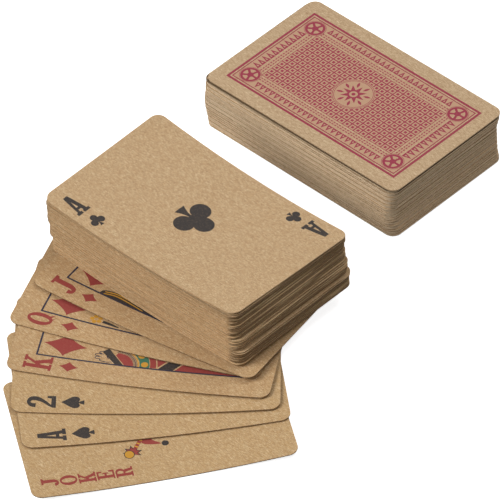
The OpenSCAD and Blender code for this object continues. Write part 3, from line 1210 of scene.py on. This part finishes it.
class CARDS_OT_stage(bpy.types.Operator):
    """Sets up the floor, the lamps, the surroundings and the camera"""
    bl_idname = "cards.stage"
    bl_label = "Stage"

    def execute(self, context):
        stage = context.scene.card_stage
        context.scene.view_settings.view_transform = "Standard"
        self.floor(context, stage)
        self.surroundings(context, stage)
        # Power, size and place of each lamp, in metres
        lamps = {
            "key_lamp": (stage.key, 0.9, (-0.6, -1.15, 0.95)),
            "top_lamp": (stage.top, 0.8, (0.15, 0.6, 1.5)),
            "fill_lamp": (stage.fill, 0.8, (1.4, -0.1, 0.5)),
        }
        for name, (energy, size, place) in lamps.items():
            self.lamp(context, name, energy, size, Vector(place))
        self.camera(context, stage)
        return {"FINISHED"}

    def background_rays(self, tree):
        """One for rays that show the background: straight from the camera, mirrored, or through glass."""
        path = node(tree, "ShaderNodeLightPath")
        seen = path.outputs["Is Camera Ray"]
        for ray in ("Is Glossy Ray", "Is Transmission Ray"):
            seen = node(tree, "ShaderNodeMath", {0: seen, 1: path.outputs[ray]}, operation="MAXIMUM")
        return seen

    def floor(self, context, stage):
        """A floor just below the cards, white to the camera, which throws little light back on them."""
        bpy.ops.object.select_all(action="DESELECT")
        bpy.ops.mesh.primitive_plane_add(size=FLOOR_SIZE, location=(0, 0, -FLOOR_BELOW))
        obj = context.view_layer.objects.active
        obj.name = "floor"
        material = bpy.data.materials.new("pale_floor")
        material.use_nodes = True
        tree = material.node_tree
        tree.nodes.clear()
        matt = node(tree, "ShaderNodeBsdfDiffuse", {"Color": stage.floor})
        glow = node(tree, "ShaderNodeEmission", {"Color": (1, 1, 1, 1), "Strength": stage.glow})
        lit = node(tree, "ShaderNodeAddShader", {0: matt, 1: glow})
        dim = node(tree, "ShaderNodeBsdfDiffuse", {"Color": stage.bounce})
        mixed = node(tree, "ShaderNodeMixShader", {0: self.background_rays(tree), 1: dim, 2: lit})
        node(tree, "ShaderNodeOutputMaterial", {"Surface": mixed})
        obj.data.materials.append(material)

    def surroundings(self, context, stage):
        """Pale surroundings, white to the camera and weak as a light."""
        world = bpy.data.worlds.new("studio")
        context.scene.world = world
        world.use_nodes = True
        tree = world.node_tree
        tree.nodes.clear()
        strength = node(tree, "ShaderNodeMapRange", {
            "Value": self.background_rays(tree), "To Min": stage.sky, "To Max": 1.0})
        sky = node(tree, "ShaderNodeBackground", {"Color": (1, 1, 1, 1), "Strength": strength})
        node(tree, "ShaderNodeOutputWorld", {"Surface": sky})

    def lamp(self, context, name, energy, size, place):
        """A square lamp that points between the two packs."""
        light = bpy.data.lights.new(name, "AREA")
        light.energy = energy
        light.size = size
        obj = bpy.data.objects.new(name, light)
        aim = Vector((0, -0.06, 0))
        obj.location = place
        obj.rotation_euler = (aim - place).to_track_quat("-Z", "Y").to_euler()
        context.scene.collection.objects.link(obj)

    def camera(self, context, stage):
        """The camera at the photograph's viewing angle."""
        a = stage.azimuth
        e = stage.elevation
        forward = Vector((-math.sin(a) * math.cos(e), math.cos(a) * math.cos(e), -math.sin(e)))
        level = Vector((math.cos(a), math.sin(a), 0))
        upright = level.cross(forward)
        right = level * math.cos(stage.roll) - upright * math.sin(stage.roll)
        up = upright * math.cos(stage.roll) + level * math.sin(stage.roll)
        place = Vector((stage.aim_x, stage.aim_y, 0)) - forward * stage.distance
        camera = bpy.data.cameras.new("camera")
        camera.sensor_width = SENSOR
        camera.lens = stage.lens
        camera.clip_end = CAMERA_REACH
        obj = bpy.data.objects.new("camera", camera)
        turn = Matrix((right, up, -forward)).transposed()
        obj.matrix_world = Matrix.Translation(place) @ turn.to_4x4()
        context.scene.collection.objects.link(obj)
        context.scene.camera = obj


STEPS = ["board", "clubs", "spades", "courts", "jokers", "backs", "stage"]


class CARDS_PT_panel(bpy.types.Panel):
    """Lists the steps that dress the cards"""
    bl_idname = "CARDS_PT_panel"
    bl_label = "Kraft playing cards"
    bl_space_type = "VIEW_3D"
    bl_region_type = "UI"
    bl_category = "Cards"

    def draw(self, context):
        for step in STEPS:
            self.layout.operator("cards." + step)


CLASSES = [
    BoardSettings, InkSettings, FaceSettings, BackSettings, StageSettings,
    CARDS_OT_board, CARDS_OT_clubs, CARDS_OT_spades, CARDS_OT_courts, CARDS_OT_jokers, CARDS_OT_backs,
    CARDS_OT_stage, CARDS_PT_panel,
]
SETTINGS = {
    "card_board": BoardSettings,
    "card_inks": InkSettings,
    "card_faces": FaceSettings,
    "card_back": BackSettings,
    "card_stage": StageSettings,
}


def register():
    for cls in CLASSES:
        bpy.utils.register_class(cls)
    for name, group in SETTINGS.items():
        setattr(bpy.types.Scene, name, PointerProperty(type=group))


def unregister():
    for name in SETTINGS:
        delattr(bpy.types.Scene, name)
    for cls in reversed(CLASSES):
        bpy.utils.unregister_class(cls)


def main():
    register()
    for step in STEPS:
        getattr(bpy.ops.cards, step)()


if __name__ == "__main__":
    main()
